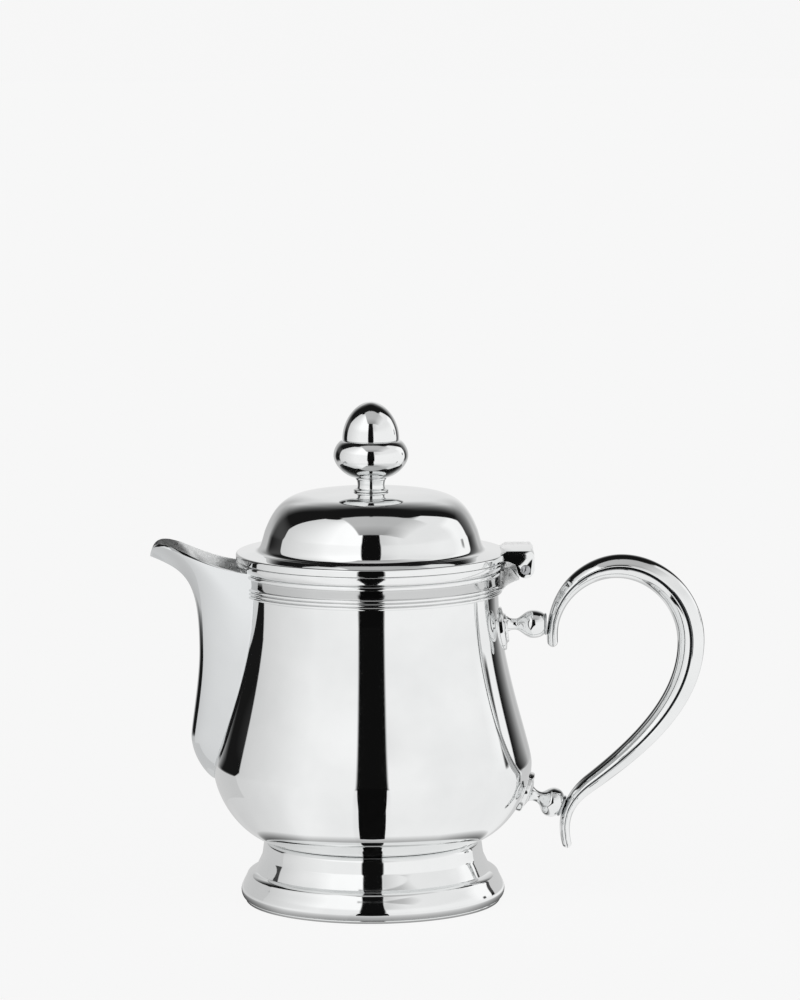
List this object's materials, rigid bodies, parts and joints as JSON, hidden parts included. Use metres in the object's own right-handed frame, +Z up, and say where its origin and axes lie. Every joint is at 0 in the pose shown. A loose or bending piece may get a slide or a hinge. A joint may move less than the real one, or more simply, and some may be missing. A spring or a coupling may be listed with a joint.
{
  "type": "coffee pot",
  "caption": "Pear-shaped silver-plated coffee pot with a beak spout, a scroll handle on turned sockets and a hinged domed lid with an acorn finial.",
  "frame": {"origin": "centre of the ring that the pot stands on, in the plane of the table", "axes": "+Z up along the axis of the body; +X towards the handle; -X towards the spout; +Y along the hinge pin"},
  "size_m": [0.2155, 0.1244, 0.1957],
  "materials": {
    "silver_sheet": "mirror-polished silver plate on spun sheet",
    "silver_cast": "mirror-polished silver plate on cast metal",
    "dark_ring": "polished, slightly tarnished",
    "steel": "turned and lightly polished"
  },
  "bodies": {
    "pot": {"body_shell": "silver_sheet", "foot": "silver_sheet", "foot_base_ring": "silver_cast", "reeded_collar": "silver_cast", "rim_moulding": "silver_cast", "spout": "silver_sheet", "hinge_bracket": "silver_cast", "upper_socket_plate": "silver_cast", "upper_socket": "silver_cast", "upper_socket_ring": "dark_ring", "lower_socket_plate": "silver_cast", "lower_socket": "silver_cast", "lower_socket_ring": "dark_ring", "handle": "silver_cast"},
    "lid": {"lid_shell": "silver_sheet", "lid_bezel": "silver_sheet", "lid_hinge_lug": "silver_cast", "hinge_pin": "steel", "finial_stem": "silver_cast", "finial_cup": "silver_cast", "finial_acorn": "silver_cast", "finial_stud": "steel", "finial_washer": "steel", "finial_nut": "steel"}
  },
  "joints": [
    {"name": "lid_hinge", "type": "hinge", "parent": "pot", "child": "lid", "pos_m": [0.0596, 0, 0.1316], "axis": [0, 1, 0], "range_deg": [0, 105]}
  ]
}
